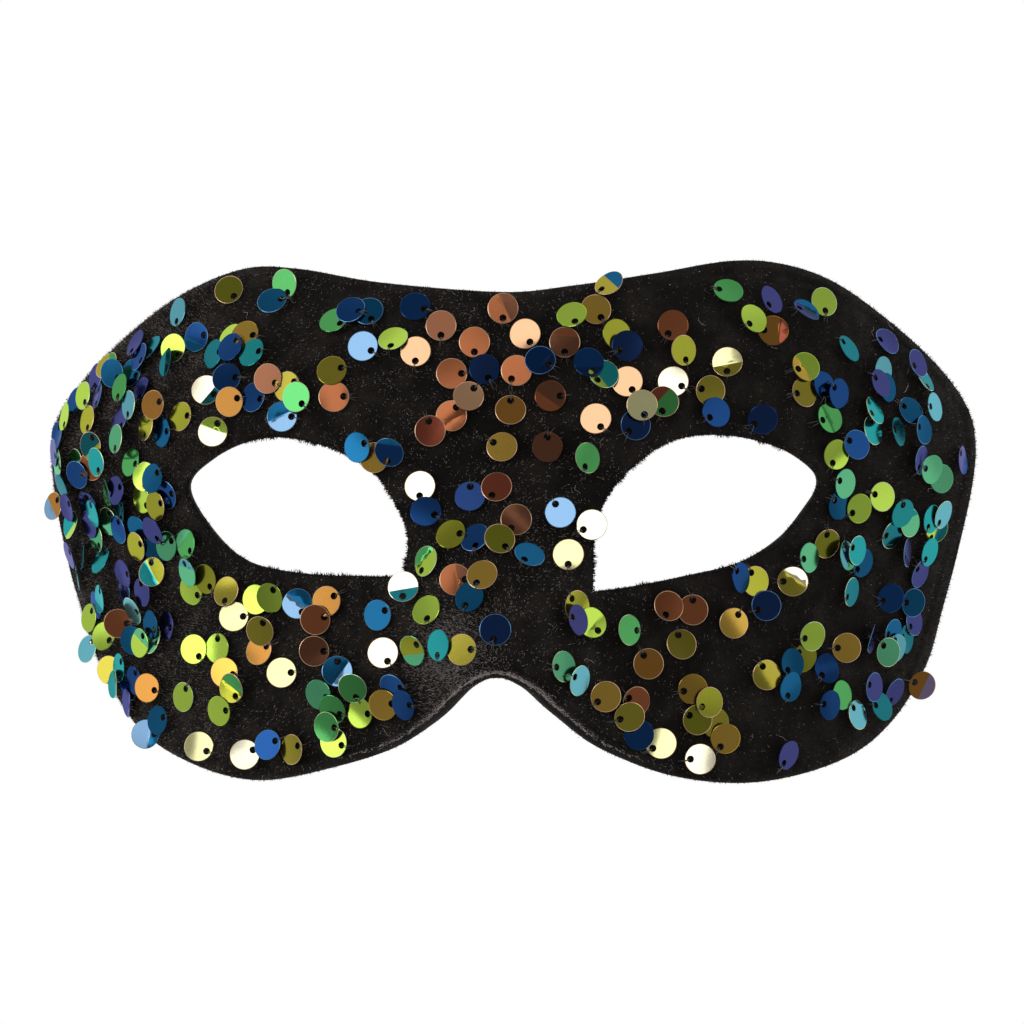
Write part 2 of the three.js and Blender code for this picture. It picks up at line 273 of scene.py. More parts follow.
# Painted glint: most discs that would throw the key light are left out; of those kept, one that throws it
# squarely gets a pale finish and one that nearly does a lighter finish, so its colour paints the highlight
# in
PAINTED_GLINT_FROM = 0.993
GLARE_EDGE = 0.98
GLARE_SKIPPED = 0.85
PAINTED_NEAR_GLINT_FROM = 0.965
PAINTED_GLINT_FINISH = {
    "brown": "peach", "red_brown": "peach", "copper": "peach", "bronze": "lemon", "gold": "lemon",
    "navy": "sky", "royal": "sky", "blue": "sky", "violet": "sky", "turquoise": "ice", "teal": "ice",
}
PAINTED_NEAR_GLINT_FINISH = {"bronze": "peach", "gold": "lemon", "yellow": "lemon", "green": "lime", "mint": "lime"}

# Sequins that hang past the edge: place, lean, angle of the hole, finish, and finish past the crease
OVERHANGING = [
    (-88.3, 1.3, -1.0, 0.1, 30.0, "bronze", "sky"),
    (-81.0, -26.5, -0.9, 0.3, 45.0, "ice", None),
    (19.3, 40.4, -0.5, 0.9, 225.0, "olive", "blue"),
    (77.6, -32.9, 0.4, -0.2, 155.0, "bronze", "lilac"),
]
OVERHANG_CHORD = (19, 35)
OVERHANG_FOLD = 0.15
RAISES = 3

# Thread: where a strand passes from its hole to the disc's edge, how far out and how high
STRAND_PATH = [(0.4 * HOLE_RADIUS, -0.35), (0.8 * HOLE_RADIUS, 0.12), (RADIUS - HOLE_OFFSET + 0.1, 0.1)]
STRAND_SPREAD = 0.3
STRAND_REACH = (0.4, 1.5)
STRAND_RADII = (0.04, 0.06)
STRAND_DEPTH = 0.4
THREAD_STEPS = 8
THREAD_POINTS = 9

# Pile: how it is pressed under sequins, thinned on the bead and shortened round the rim
CLEAR_UNDER, PRESS_REACH, LEAST_PRESSED = 0.12, 1.2, 0.1
BEAD_REACH, BEAD_PILE = 1.6, 0.25
RIM_DEPTH, RIM_UNDER = 4.6, -0.75
RIM_TURN, RIM_PILE = 0.8, 0.6
NAP = 0.22
FIBRES = 43000
# Shares of grey and brown pile: the fibres' own colour everywhere and in patches, and painted sheen of the
# light on the left half, down the left side and on the nose's left slope
GREY_LEAST, GREY_LEFT_PAINTED_SHEEN, GREY_CENTRE, GREY_SIDE_PAINTED_SHEEN, GREY_NOSE_PAINTED_SHEEN, GREY_PATCHES = 0.05, 0.16, 0.42, 0.8, 6.0, 0.9
BROWN_LEAST, BROWN_LEFT_PAINTED_SHEEN, BROWN_SIDE_PAINTED_SHEEN, BROWN_PATCHES = 0.5, 0.6, 3.4, 0.5
PAINTED_SHEEN_LEFT_HALF, PAINTED_SHEEN_GREY_DOWN, PAINTED_SHEEN_BROWN_DOWN = (10.0, 40.0), (-46.0, 18.0), (-40.0, 24.0)
CENTRE_WIDE = 26.0
PAINTED_SHEEN_NOSE_X, PAINTED_SHEEN_NOSE_Y, PAINTED_SHEEN_NOSE_WIDE = -7.0, -25.0, 7.0
PILE_LENGTHS, PILE_WIDTHS, ROOT_DEPTH = (0.65, 1.25), (0.7, 1.3), 0.05

# Fibres along the bead, pale ones that paint a highlight on its crown, and fibres along the cut edges
BEAD_FIBRES = 1500
BEAD_FIBRE_REACH = 14.0
BEAD_FIBRE_INSET, BEAD_FIBRE_SPREAD = 1.25, 0.16
BEAD_FIBRE_DEPTH = PILE - BEAD_HIGH * 0.8
BEAD_FIBRE_LOOSE, BEAD_FIBRE_FLAT = 0.45, 0.6
BEAD_FIBRE_LENGTHS, BEAD_FIBRE_WIDTHS = (0.3, 0.7), (0.025, 0.045)
CUT_DEPTHS = (0.25, 1.6)
CUT_SPREAD = 0.2
CUT_OUT, CUT_UP, CUT_LOOSE = 0.9, 0.9, 0.4
CUT_LENGTHS, CUT_WIDTHS = (0.45, 1.0), (0.06, 0.14)
TUFTS, TUFT_WIDE, TUFT_LONG = 16, 2, 1.8
OFF_NOTCH = 0.97
FRINGE_FROM = -60.0

# Stray hairs and lint
HAIRS, HAIR_STEPS, HAIR_STEP, HAIR_TURN = 60, 5, 0.55, 0.7
HAIR_AREA, HAIR_DEPTHS, HAIR_RADII = (84.0, 42.0), (-0.35, -0.15), (0.02, 0.035)
SPECKS, SPECK_HIGH = 36, 0.55
SPECK_LENGTHS, SPECK_RADII = (0.12, 0.3), (0.05, 0.09)
SHOWN_INSET = 0.5


def smoothstep(t):
    u = np.clip(t, 0.0, 1.0)
    return u * u * (3.0 - 2.0 * u)


def unit(v):
    """Vectors brought to a length of one."""
    return v / np.linalg.norm(v, axis=-1, keepdims=True)


def heading(angle):
    return np.array([math.cos(angle), math.sin(angle), 0.0])


def around(count):
    """The numbers of a closed loop's points, and those of the points after them."""
    k = np.arange(count)
    return k, (k + 1) % count


def front(x, y):
    """Height of the velvet's front over a point of the plan."""
    pull = 1.0 - np.exp(-(((y - SPAN_MIDDLE) / SPAN_SPREAD) ** 2))
    span = HALF_SPAN - SPAN_PULL * pull
    sides = SIDE_DROP * (np.abs(x) / span) ** SIDE_POWER
    brow = BROW_ROLL * np.maximum(0.0, y - BROW_START) ** 2
    cheek = CHEEK_ROLL * np.maximum(0.0, CHEEK_START - y) ** 2
    down = smoothstep((NOSE_TOP - y) / NOSE_RUN)
    width = NOSE_WIDTH + NOSE_FLARE * down
    nose = NOSE_HEIGHT * down * np.exp(-((x / width) ** 2) / 2.0)
    return CROWN - sides - brow - cheek + nose


def normals_at(x, y):
    slope_x = (front(x + SLOPE_STEP, y) - front(x - SLOPE_STEP, y)) / (2 * SLOPE_STEP)
    slope_y = (front(x, y + SLOPE_STEP) - front(x, y - SLOPE_STEP)) / (2 * SLOPE_STEP)
    return unit(np.stack([-slope_x, -slope_y, np.ones_like(slope_x)], -1))


def on_form(plan, depth):
    """Points at a depth square below the front, for points of the plan."""
    x, y = plan[:, 0], plan[:, 1]
    top = np.stack([x, y, front(x, y)], -1)
    return top - normals_at(x, y) * np.broadcast_to(depth, x.shape)[:, None]


# Outlines
def span(p, steps):
    """Points of the curve through four knots, from the second to the third."""
    t = np.linspace(0.0, 1.0, steps, endpoint=False)[:, None]
    start = 0.5 * (p[2] - p[0])
    end = 0.5 * (p[3] - p[1])
    square = -3 * p[1] + 3 * p[2] - 2 * start - end
    cube = 2 * p[1] - 2 * p[2] + start + end
    return p[1] + start * t + square * t**2 + cube * t**3


def curve(knots, closed, steps=CURVE_STEPS):
    """The CAD part's curve through the knots, finely sampled."""
    knots = np.array(knots, float)
    if closed:
        p = np.vstack([knots[-1:], knots, knots[:2]])
    else:
        p = np.vstack([2 * knots[0] - knots[1], knots, 2 * knots[-1] - knots[-2]])
    spans = [span(p[i:i + 4], steps) for i in range(len(p) - 3)]
    return np.vstack(spans if closed else [*spans, knots[-1:]])


def resample(line, step):
    """A closed loop of even steps along the line."""
    loop = np.vstack([line, line[:1]])
    run = np.concatenate([[0.0], np.cumsum(np.linalg.norm(np.diff(loop, axis=0), axis=1))])
    count = int(round(run[-1] / step))
    at = np.linspace(0.0, run[-1], count, endpoint=False)
    return np.stack([np.interp(at, run, loop[:, k]) for k in (0, 1)], -1)


def inward(loop):
    """Unit directions square to the loop, pointing into the area that it encloses."""
    after = np.roll(loop, -1, axis=0)
    along = unit(after - np.roll(loop, 1, axis=0))
    area = np.sum(loop[:, 0] * after[:, 1] - after[:, 0] * loop[:, 1])
    return np.stack([-along[:, 1], along[:, 0]], -1) * math.copysign(1.0, area)


edge = resample(curve(EDGE, True), EDGE_STEP)
eyes = [resample(curve(eye, False)[:-1], EYE_STEP) for eye in (LEFT_EYE, RIGHT_EYE)]
MIDDLE = np.array([*(edge.min(0) + edge.max(0)) / 2.0, 0.0])
edge_in = inward(edge)
eyes_in = [inward(eye) for eye in eyes]
along_notch = np.exp(-(((edge[:, 0] - NOTCH_X) / NOTCH_REACH) ** 4)) * (edge[:, 1] < 0.0)
bead = BEAD_LEAST + (1.0 - BEAD_LEAST) * along_notch

down_sides = smoothstep((np.abs(edge[:, 0]) - SIDES_FROM) / SIDES_RUN)
on_slopes = np.minimum(1.0, np.abs(edge[:, 0] - NOTCH_X) / WORN_RUN)
swell = SWELL + SWELL_BELOW * smoothstep((BELOW_FROM - edge[:, 1]) / BELOW_RUN)
swell += SWELL_SIDES * down_sides * smoothstep((SIDES_TOP - edge[:, 1]) / SIDES_TOP)
swell -= along_notch * (WORN + WORN_SLOPES * on_slopes)
eye_swell = [
    LEFT_EYE_SWELL * smoothstep((eyes[0][:, 0] - LEFT_EYE_FROM) / LEFT_EYE_RUN) - LEFT_EYE_WORN,
    np.full(len(eyes[1]), RIGHT_EYE_SWELL),
]


def edge_ring(inset):
    """The outer edge moved into the cloth by inset, with the rim itself swollen."""
    share = np.clip((SWELL_INSET - inset) / SWELL_ROUND, 0.0, 1.0)
    return edge + edge_in * (inset - swell * share)[:, None]


def eye_ring(i, outset):
    """An eye hole's outline moved into the cloth by outset, with its edge itself swollen."""
    share = np.clip((EYE_SWELL_INSET - outset) / EYE_SWELL_ROUND, 0.0, 1.0)
    return eyes[i] - eyes_in[i] * (outset - eye_swell[i] * share)[:, None]


def in_blocks(measure, points):
    """A measure of every point, taken some thousands at a time."""
    starts = range(0, max(1, len(points)), BLOCK)
    return np.concatenate([measure(points[start:start + BLOCK]) for start in starts])


def inside(points, loop):
    """Which points lie inside a closed loop."""
    a, b = loop, np.roll(loop, -1, axis=0)
    rise = np.where(a[:, 1] == b[:, 1], 1.0, b[:, 1] - a[:, 1])

    def odd(block):
        x, y = block[:, :1], block[:, 1:2]
        crosses = (a[:, 1] > y) != (b[:, 1] > y)
        right_of = (b[:, 0] - a[:, 0]) * (y - a[:, 1]) / rise + a[:, 0]
        return np.sum(crosses & (x < right_of), axis=1) % 2 == 1

    return in_blocks(odd, points)


def between(points, outer, holes):
    """Which points lie inside the outer loop and in none of the holes."""
    keep = inside(points, outer)
    for hole in holes:
        keep &= ~inside(points, hole)
    return keep


def distance_to(points, loop):
    """Distance of each point to the nearest of the loop's own points."""
    return in_blocks(lambda block: np.linalg.norm(block[:, None] - loop[None], axis=2).min(1), points)


# Nets and meshes
def triangulate(points, counts, chord=None):
    """A flat net with its faces up. The first of its points are closed loops, of so many points each."""
    edges = [chord] if chord else []
    start = 0
    for count in counts:
        edges += [(start + k, start + (k + 1) % count) for k in range(count)]
        start += count
    verts, _, faces, *_ = delaunay_2d_cdt([tuple(p) for p in points], edges, [], 0, DOUBLE)
    verts = np.array([tuple(v) for v in verts])
    faces = np.array([tuple(f) for f in faces])
    a, b, c = verts[faces[:, 0]], verts[faces[:, 1]], verts[faces[:, 2]]
    u, v = b - a, c - a
    down = u[:, 0] * v[:, 1] - u[:, 1] * v[:, 0] < 0
    faces[down] = faces[down][:, ::-1]
    return verts, faces


def plan_mesh(outer, holes, pitch):
    """Triangles of the plan between an outer loop and the holes, with a staggered net inside."""
    low, high = outer.min(0), outer.max(0)
    net = []
    for i, y in enumerate(np.arange(low[1], high[1], pitch * math.sqrt(3) / 2)):
        x = np.arange(low[0] + (i % 2) * pitch / 2, high[0], pitch)
        net.append(np.stack([x, np.full_like(x, y)], -1))
    net = np.vstack(net)
    net += rng.uniform(-NET_SHIFT, NET_SHIFT, net.shape) * pitch
    net = net[between(net, outer, holes)]
    loops = [outer, *holes]
    for loop in loops:
        net = net[distance_to(net, loop) > NET_ROOM * pitch]
    verts, faces = triangulate(np.vstack([*loops, net]), [len(loop) for loop in loops])
    return verts, faces[between(verts[faces].mean(1), outer, holes)]


NO_TRIANGLES = np.zeros((0, 3), int)
NO_QUADS = np.zeros((0, 4), int)


def sheet(outer, holes, pitch, depth, facing_front):
    """Points, triangles and quads of a sheet at a depth below the front."""
    plan, faces = plan_mesh(outer, holes, pitch)
    return on_form(plan, depth), faces if facing_front else faces[:, ::-1], NO_QUADS


def band(rings):
    """Points, triangles and quads of a band round a closed loop, from ring to ring."""
    count = len(rings[0])
    k, after = around(count)
    starts = count * np.arange(len(rings))
    quads = [np.stack([a + k, a + after, b + after, b + k], -1) for a, b in zip(starts, starts[1:])]
    return np.vstack(rings), NO_TRIANGLES, np.vstack(quads)


def join_arrays(parts):
    """Joins (points, triangles, quads) of many small meshes."""
    points, triangles, quads = [], [], []
    count = 0
    for p, t, q in parts:
        points.append(p)
        triangles.append(t + count)
        quads.append(q + count)
        count += len(p)
    return np.vstack(points), np.vstack(triangles), np.vstack(quads)


def add(name, data):
    made = bpy.data.objects.new(name, data)
    bpy.context.scene.collection.objects.link(made)
    return made


def new_mesh(name, points, triangles, quads=NO_QUADS, smooth=True):
    """A mesh object from form coordinates in millimetres, placed in the row frame and off the table."""
    placed = (points - MIDDLE) * MM
    placed[:, 2] = np.maximum(placed[:, 2], 0.0)
    mesh = bpy.data.meshes.new(name)
    mesh.vertices.add(len(placed))
    mesh.vertices.foreach_set("co", placed.astype(np.float32).ravel())
    loops = np.concatenate([triangles.ravel(), quads.ravel()]).astype(np.int32)
    sizes = np.concatenate([np.full(len(triangles), 3), np.full(len(quads), 4)])
    starts = np.cumsum(sizes) - sizes
    mesh.loops.add(len(loops))
    mesh.loops.foreach_set("vertex_index", loops)
    mesh.polygons.add(len(sizes))
    mesh.polygons.foreach_set("loop_start", starts.astype(np.int32))
    mesh.polygons.foreach_set("use_smooth", np.broadcast_to(smooth, sizes.shape).astype(bool))
    mesh.update(calc_edges=True)
    mesh.validate()
    return add(name, mesh)


def sharpen(piece, quads):
    """Keeps the flat bands' edges crisp, so that the faces beside them shade as flat."""
    mesh = piece.data
    ends = np.zeros(len(mesh.edges) * 2, np.int32)
    mesh.edges.foreach_get("vertices", ends)
    ends = np.sort(ends.reshape(-1, 2), axis=1).astype(np.int64)
    sides = np.vstack([quads[:, [k, (k + 1) % 4]] for k in range(4)])
    sides = np.sort(sides, axis=1).astype(np.int64)
    size = len(mesh.vertices)
    crisp = np.isin(ends[:, 0] * size + ends[:, 1], sides[:, 0] * size + sides[:, 1])
    mesh.edges.foreach_set("use_edge_sharp", crisp)


def close(piece):
    """Merges the doubles along the seams, and turns every face outwards."""
    work = bmesh.new()
    work.from_mesh(piece.data)
    bmesh.ops.remove_doubles(work, verts=work.verts, dist=SEAM * MM)
    bmesh.ops.recalc_face_normals(work, faces=work.faces)
    work.to_mesh(piece.data)
    work.free()


def finish_piece(piece, material, replaced=()):
    if material:
        piece.data.materials.append(material)
    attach(piece, "root")
    if replaced:
        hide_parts(*replaced)
    return piece


# Materials
def plain(name, colour, **values):
    """A material of plain values. The names are those of the shader's sockets."""
    made = bpy.data.materials.new(name)
    made.use_nodes = True
    shader = made.node_tree.nodes["Principled BSDF"]
    for key, value in {"Base_Color": (*colour, 1.0), **values}.items():
        shader.inputs[key.replace("_", " ")].default_value = value
    return made


def patterned(name, tone, stops, grain, relief, **values):
    """A material with patches of tone and a fine grain, each a noise of a scale and a detail."""
    made = plain(name, stops[0][1], **values)
    tree = made.node_tree
    shader = tree.nodes["Principled BSDF"]
    where = tree.nodes.new("ShaderNodeTexCoord").outputs["Object"]

    def noise(scale, detail):
        node = tree.nodes.new("ShaderNodeTexNoise")
        node.inputs["Scale"].default_value = scale
        node.inputs["Detail"].default_value = detail
        tree.links.new(where, node.inputs["Vector"])
        return node.outputs["Fac"]

    ramp = tree.nodes.new("ShaderNodeValToRGB")
    for element, (at, colour) in zip(ramp.color_ramp.elements, stops):
        element.position = at
        element.color = (*colour, 1.0)
    tree.links.new(noise(*tone), ramp.inputs["Fac"])
    tree.links.new(ramp.outputs["Color"], shader.inputs["Base Color"])
    bump = tree.nodes.new("ShaderNodeBump")
    bump.inputs["Strength"].default_value, bump.inputs["Distance"].default_value = relief
    tree.links.new(noise(*grain), bump.inputs["Height"])
    tree.links.new(bump.outputs["Normal"], shader.inputs["Normal"])
    return made


def pile(name, colour):
    return plain(name, colour, Roughness=0.9, Specular_IOR_Level=0.12)


velvet = patterned(
    "velvet_ground", (160.0, 3.0), [(0.42, (0.0105, 0.0088, 0.0074)), (0.72, (0.028, 0.0235, 0.020))],
    (3500.0, 2.0), (0.6, 0.0002), Roughness=0.95, Sheen_Weight=0.05, Sheen_Roughness=0.5,
    Specular_IOR_Level=0.1,
)
shell_look = patterned(
    "moulded_shell", (900.0, 4.0), [(0.35, (0.012, 0.012, 0.012)), (0.7, (0.035, 0.033, 0.032))],
    (2500.0, 3.0), (0.5, 0.0001), Roughness=0.7,
)
pile_black = pile("pile_black", (0.0245, 0.0202, 0.017))
pile_brown = pile("pile_brown", (0.20, 0.161, 0.139))
pile_grey = pile("pile_grey", (0.56, 0.50, 0.48))
lint_look = pile("lint", (0.5, 0.48, 0.45))
thread_look = plain("nylon_thread", (0.14, 0.13, 0.12), Roughness=0.3)


# The velvet, and the shell under it
def ridge(inset):
    """Height of the bead at an inset from the edge, less the groove inside it."""
    high = BEAD_HIGH * math.exp(-(((inset - BEAD_AT) / BEAD_WIDTH) ** 2))
    deep = GROOVE_DEEP * math.exp(-(((inset - GROOVE_AT) / GROOVE_WIDTH) ** 2))
    return (high - deep) * bead


def velvet_cloth():
    """Front, rounded rim, hem, and the side that is glued to the shell."""
    rim = [(inset, PILE - ridge(inset)) for inset in BEAD_INSETS]
    rim += [(RIM_TOP, PILE + RIM_TOP_DEPTH - ridge(RIM_TOP)), *RIM_PROFILE]
    parts = [band([on_form(edge_ring(inset), depth) for inset, depth in rim])]
    for i in range(len(eyes)):
        parts.append(band([on_form(eye_ring(i, outset), depth) for outset, depth in EYE_PROFILE]))
    holes = [eye_ring(i, EYE_PROFILE[0][0]) for i in range(len(eyes))]
    parts.append(sheet(edge_ring(BEAD_INSETS[0]), holes, CLOTH_PITCH, PILE, True))
    holes = [eye_ring(i, EYE_PROFILE[-1][0]) for i in range(len(eyes))]
    parts.append(sheet(edge_ring(LIP), holes, HIDDEN_PITCH, VELVET, False))
    return join_arrays(parts)


def shell_sheet():
    rim = LIP + GLUE
    parts = [band([on_form(edge_ring(rim + inset), depth) for inset, depth in SHELL_PROFILE])]
    for i in range(len(eyes)):
        parts.append(band([on_form(eye_ring(i, outset), depth) for outset, depth in SHELL_PROFILE]))
    turn = SHELL_PROFILE[0][0]
    holes = [eye_ring(i, turn) for i in range(len(eyes))]
    parts.append(sheet(edge_ring(rim + turn), holes, HIDDEN_PITCH, SHELL_FRONT, True))
    parts.append(sheet(edge_ring(rim + turn), holes, BACK_PITCH, SHELL_BACK, False))
    return join_arrays(parts)


def closed_piece(name, arrays, material, node):
    piece = new_mesh(name, *arrays)
    close(piece)
    return finish_piece(piece, material, [node])


velvet_piece = closed_piece("velvet_cloth", velvet_cloth(), velvet, "velvet_cover")
closed_piece("moulded_shell", shell_sheet(), shell_look, "mask_shell")


# Sequins
foils = {}


def foil(finish, deep=False):
    key = finish + ("_deep" if deep else "")
    if key not in foils:
        colour = tuple(c * (DEEP if deep else 1.0) for c in FINISH[finish][1])
        edge_on = (*(1.0 - EDGE_TINT * (1.0 - c / max(colour)) for c in colour), 1.0)
        looks = {"Metallic": FOIL_METALLIC, "Roughness": FOIL_ROUGHNESS, "Specular_Tint": edge_on}
        foils[key] = plain(f"foil_{key}", colour, **looks)
    return foils[key]


def painted_rim_highlight(finish, shown):
    """A painted highlight on a disc's cut rim and hole walls: a bright tint on some discs, and as the rest
    of the disc on others.
    """
    tint = "blue" if finish in BLUES else "green" if finish in GREENS else "warm"
    if rng.random() > RIM_HIGHLIGHT_SHARE[tint]:
        return shown
    key = f"rim_{tint}"
    if key not in foils:
        foils[key] = plain(f"foil_{key}", RIM_HIGHLIGHT_TINT[tint], Metallic=0.8, Roughness=0.3)
    return foils[key]


def lean_of(normal, at):
    """Degrees between a disc's normal and the way to a point straight over the mask."""
    way = SEEN_FROM - at
    return math.degrees(math.acos(min(1.0, abs(float(normal @ way)) / float(np.linalg.norm(way)))))


def glint(normal, at):
    """How squarely a disc throws the key light to the camera: 1 for exactly."""
    to_key = np.array(KEY_WAY) * KEY_DISTANCE / MM - at
    halfway = unit(to_key) + unit(SEEN_FROM - at)
    return float(normal @ halfway) / float(np.linalg.norm(halfway))


def film_finish(film, lean, jitter=FILM_JITTER):
    """The finish that a film shows at a lean, with some spread."""
    at = abs(lean + rng.normal(0.0, jitter))
    rows = BLUE_FILM if film else WARM_FILM
    return next((finish for limit, finish in rows if at <= limit), rows[-1][1])


# A disc is a flat plan of triangles with a bevelled rim, in its own frame with its hole towards +Y
FRONT, BEYOND, BACK, EDGE_BAND = 0, 1, 2, 3


def circle(radius, count, shift=0.0):
    a = np.linspace(0.0, 2 * math.pi, count, endpoint=False) + shift
    return np.stack([radius * np.cos(a), radius * np.sin(a)], -1)


INNER_RIM = circle(RADIUS - BEVEL, DISC_SIDES)
RIM_SAMPLE = np.vstack([circle(RADIUS, 20), circle(RADIUS * 0.5, 10)])
RIM_SAMPLE = np.column_stack([RIM_SAMPLE, np.zeros(len(RIM_SAMPLE))])


def disc_plan(chord=None):
    """Points and triangles of a disc. chord joins two points of its rim, for a crease."""
    hole = circle(HOLE_RADIUS, HOLE_SIDES) + [0.0, HOLE_OFFSET]
    ring = circle(RADIUS * NET_RING, NET_RING_SIDES, NET_RING_TURN)
    ring = ring[np.linalg.norm(ring - [0.0, HOLE_OFFSET], axis=1) > HOLE_RADIUS + HOLE_ROOM]
    points = np.vstack([INNER_RIM, hole, ring, circle(RADIUS * NET_CORE, NET_CORE_SIDES)])
    verts, faces = triangulate(points, [DISC_SIDES, HOLE_SIDES], chord)
    return verts, faces[~inside(verts[faces].mean(1), hole)]


FLAT_PLAN = disc_plan()


def disc_mesh(curl, curl_way, crease):
    """Points, faces and the part each face belongs to. crease is (rim points joined, angle)."""
    verts, faces = disc_plan(crease[0]) if crease else FLAT_PLAN
    count, half = len(verts), THICKNESS / 2

    def beyond(plan):
        """How far past the crease the points are."""
        if not crease:
            return np.zeros(len(plan))
        first, last = (INNER_RIM[k] for k in crease[0])
        along = unit(last - first)
        return np.maximum(0.0, (plan - first) @ np.array([along[1], -along[0]]))

    def shaped(plan, height):
        rise = curl * (plan @ heading(curl_way)[:2] / RADIUS) ** 2
        if crease:
            rise = rise + beyond(plan) * math.tan(crease[1])
        return np.column_stack([plan, height + rise])

    rims = [shaped(circle(RADIUS, DISC_SIDES), height) for height in (half * RIM_FLAT, -half * RIM_FLAT)]
    points = np.vstack([shaped(verts, half), shaped(verts, -half), *rims])
    triangles = np.vstack([faces, faces[:, ::-1] + count])
    part = np.where(beyond(verts[faces].mean(1)) > 1e-4, BEYOND, FRONT)
    triangle_part = np.concatenate([part, np.full(len(faces), BACK)])
    k, after = around(DISC_SIDES)
    high, low = 2 * count, 2 * count + DISC_SIDES
    h, h_after = (DISC_SIDES + i for i in around(HOLE_SIDES))
    quads = np.vstack([
        np.stack([k, high + k, high + after, after], -1),
        np.stack([high + k, low + k, low + after, high + after], -1),
        np.stack([low + k, count + k, count + after, low + after], -1),
        np.stack([h, h_after, count + h_after, count + h], -1),
    ])
    return points, triangles, quads, triangle_part, np.full(len(quads), EDGE_BAND)


class Sequin:
    """A disc that faces normal, with its hole towards a direction of the plan."""

    def __init__(self, centre, normal, towards):
        self.centre = centre
        self.normal = unit(normal)
        side = unit(np.cross(towards, self.normal))
        self.turn = np.stack([side, np.cross(self.normal, side), self.normal], -1)
        self.curl = rng.normal(0.0, CURL)
        self.curl_way = rng.uniform(0.0, math.pi)
        self.crease = None
        self.landmark = False
        self.neighbours = 0

    def paint(self, finish, film, deep):
        self.finish = finish
        self.film = film
        shown = foil(finish, deep)
        back = foil(film_finish(1 - film, BACK_LEAN), True)
        # The last slot, for the rim and the hole walls, may hold a painted rim highlight
        self.materials = [shown, shown, back, painted_rim_highlight(finish, shown)]

    def fold(self, angle, finish=None, chord=None):
        """Creases the disc, and gives the part beyond the crease a finish, or that of its own lean."""
        self.crease = (chord or CHORDS[rng.integers(len(CHORDS))], angle)
        tilted = self.normal + self.turn[:, 0] * math.tan(angle) * rng.choice([-1.0, 1.0])
        lean = lean_of(unit(tilted), self.centre)
        finish_there = finish or film_finish(self.film, lean)
        self.materials[BEYOND] = foil(finish_there, not finish and rng.random() < CREASED_DEEP)

    def place(self, local):
        return local @ self.turn.T + self.centre

    def rim(self):
        return self.place(RIM_SAMPLE)

    def mesh(self):
        points, *rest = disc_mesh(self.curl, self.curl_way, self.crease)
        return (self.place(points), *rest)


def form_points(mesh):
    """A mesh's points in form coordinates."""
    co = np.zeros(len(mesh.vertices) * 3, np.float32)
    mesh.vertices.foreach_get("co", co)
    return co.reshape(-1, 3).astype(float) / MM + MIDDLE


def landmark(node):
    """The sequin that a CAD node stands for, read from the node's own points."""
    points = np.unique(form_points(frame["nodes"][node].data).round(3), axis=0)
    off = np.linalg.norm(points - points.mean(0), axis=1)
    rim = points[off > HOLE_POINTS_WITHIN]
    centre = rim.mean(0)
    normal = np.linalg.svd(rim - centre)[2][2]
    normal *= math.copysign(1.0, normal[2])
    made = Sequin(centre, normal, points[off <= HOLE_POINTS_WITHIN].mean(0) - centre)
    made.landmark = True
    finish = node.split("_")[-1]
    # pale discs are painted glints, tilted to throw the key light as well; those high in the middle get a
    # peach tint and some others a lemon one
    if finish == "pale" and abs(centre[0]) < PEACH_WITHIN and centre[1] > PEACH_ABOVE:
        finish = "peach"
    elif finish == "pale" and rng.random() < LEMON_CHANCE:
        finish = "lemon"
    made.paint(finish, int(finish in BLUES), False)
    for creased, chance, angles, beyond in NODE_CREASES:
        if finish in creased and rng.random() < chance:
            made.fold(rng.uniform(*angles), beyond[rng.integers(len(beyond))])
    return made


def bare(x, y):
    """Places that the photo shows with few or no sequins."""
    if abs(x) < BARE_BROW_WIDE and y > BARE_BROW_FROM:
        return True
    return any(math.hypot(x - at_x, (y - at_y) * squash) < reach for at_x, at_y, squash, reach in BARE_SPOTS)


def lift_needed(sequin, rise, laid):
    """How far a sequin has to rise along the cloth's normal to clear the cloth and the ones below."""
    points = sequin.rim()
    cloth = normals_at(points[:, 0], points[:, 1])
    over = (points[:, 2] - front(points[:, 0], points[:, 1])) * cloth[:, 2]
    need = max(0.0, float(np.max(CLOTH_GAP - over)))
    gap = THICKNESS + DISC_GAP
    for other in laid:
        if np.linalg.norm(other.centre - sequin.centre) > 2 * RADIUS + DISC_REACH:
            continue
        for plane, cloud, sign in ((other, points, 1.0), (sequin, other.rim(), -1.0)):
            local = (cloud - plane.centre) @ plane.turn
            within = np.hypot(local[:, 0], local[:, 1]) < RADIUS + RIM_GAP
            if within.any():
                share = max(LEAST_RISE, float(rise @ plane.normal))
                need = max(need, float(np.max(gap - sign * local[within, 2])) / share)
    return need


def zone_of(x, y):
    if x < LEFT_SIDE:
        return "left side"
    if x > RIGHT_SIDE:
        return "right side"
    if abs(x) < CENTRE:
        return "centre" if y > NOSE_BELOW else "nose"
    return ("left " if x < 0.0 else "right ") + ("brow" if y > 0.0 else "cheek")


def spot_for(laid, low, high):
    """A place to try, and the room that it must have: beside a sequin, or out on its own."""
    if places.random() < CLUSTERED:
        near = laid[places.integers(len(laid))]
        if near.neighbours >= CLUSTER - 1:
            return near.centre[0], near.centre[1], APART
        way = places.uniform(0.0, 2 * math.pi)
        off = places.uniform(CLUSTER_NEAR, CLUSTER_FAR)
        return near.centre[0] + off * math.cos(way), near.centre[1] + off * math.sin(way), CLUSTER_ROOM
    x, y = places.uniform(low, high)
    return x, y, APART


